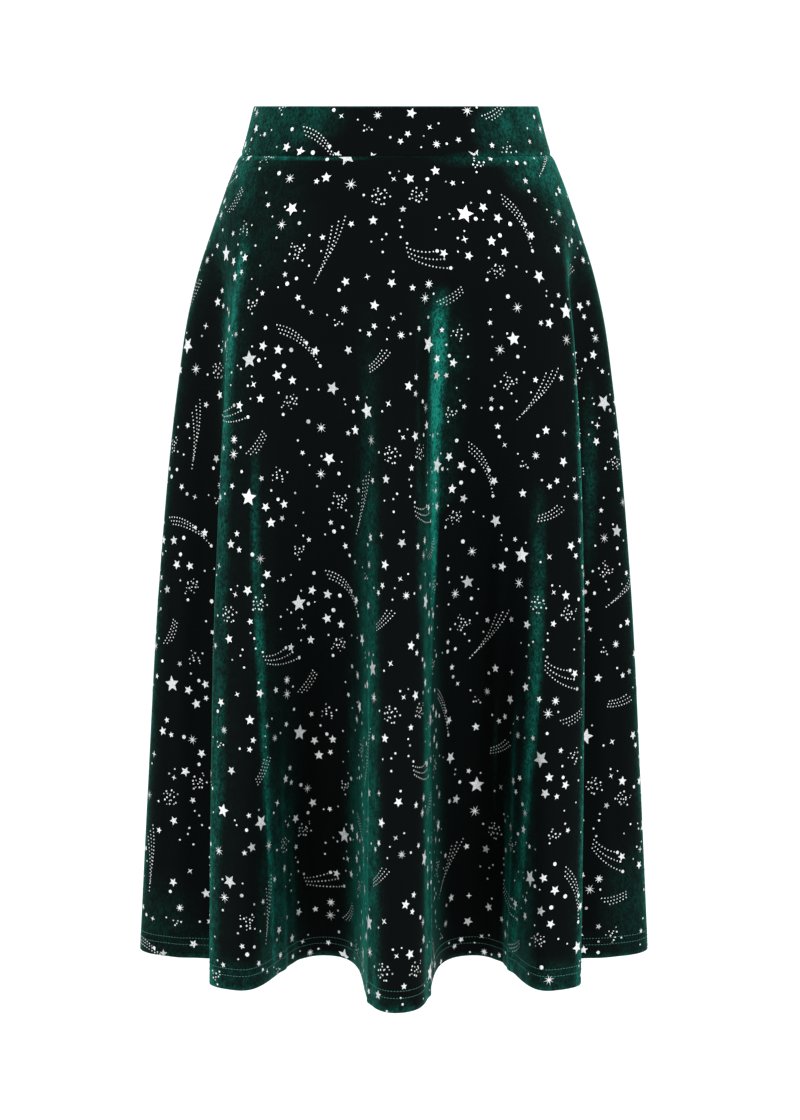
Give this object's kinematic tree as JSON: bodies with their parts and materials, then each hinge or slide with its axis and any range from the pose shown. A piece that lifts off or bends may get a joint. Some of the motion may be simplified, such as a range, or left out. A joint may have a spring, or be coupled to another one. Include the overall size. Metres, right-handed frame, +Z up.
{
  "type": "swing skirt",
  "caption": "Pull-on flared midi skirt of stretch velvet with foil stars, hollow as worn, with a fitted waistband and deep soft folds that open towards a level hem.",
  "frame": {"origin": "centre of the waist opening, at the top edge of the waistband", "axes": "+Z up, the front faces -Y, the wearer's left side is at +X"},
  "size_m": [0.4678, 0.404, 0.765],
  "materials": {
    "velvet": "crushed stretch velvet, nearly black with a deep green sheen where it turns away",
    "foil": "silver foil print",
    "thread": "green sewing thread"
  },
  "bodies": {
    "root": {"waistband_front": "velvet", "waistband_back": "velvet", "skirt_front": "velvet", "skirt_back": "velvet"}
  },
  "joints": []
}
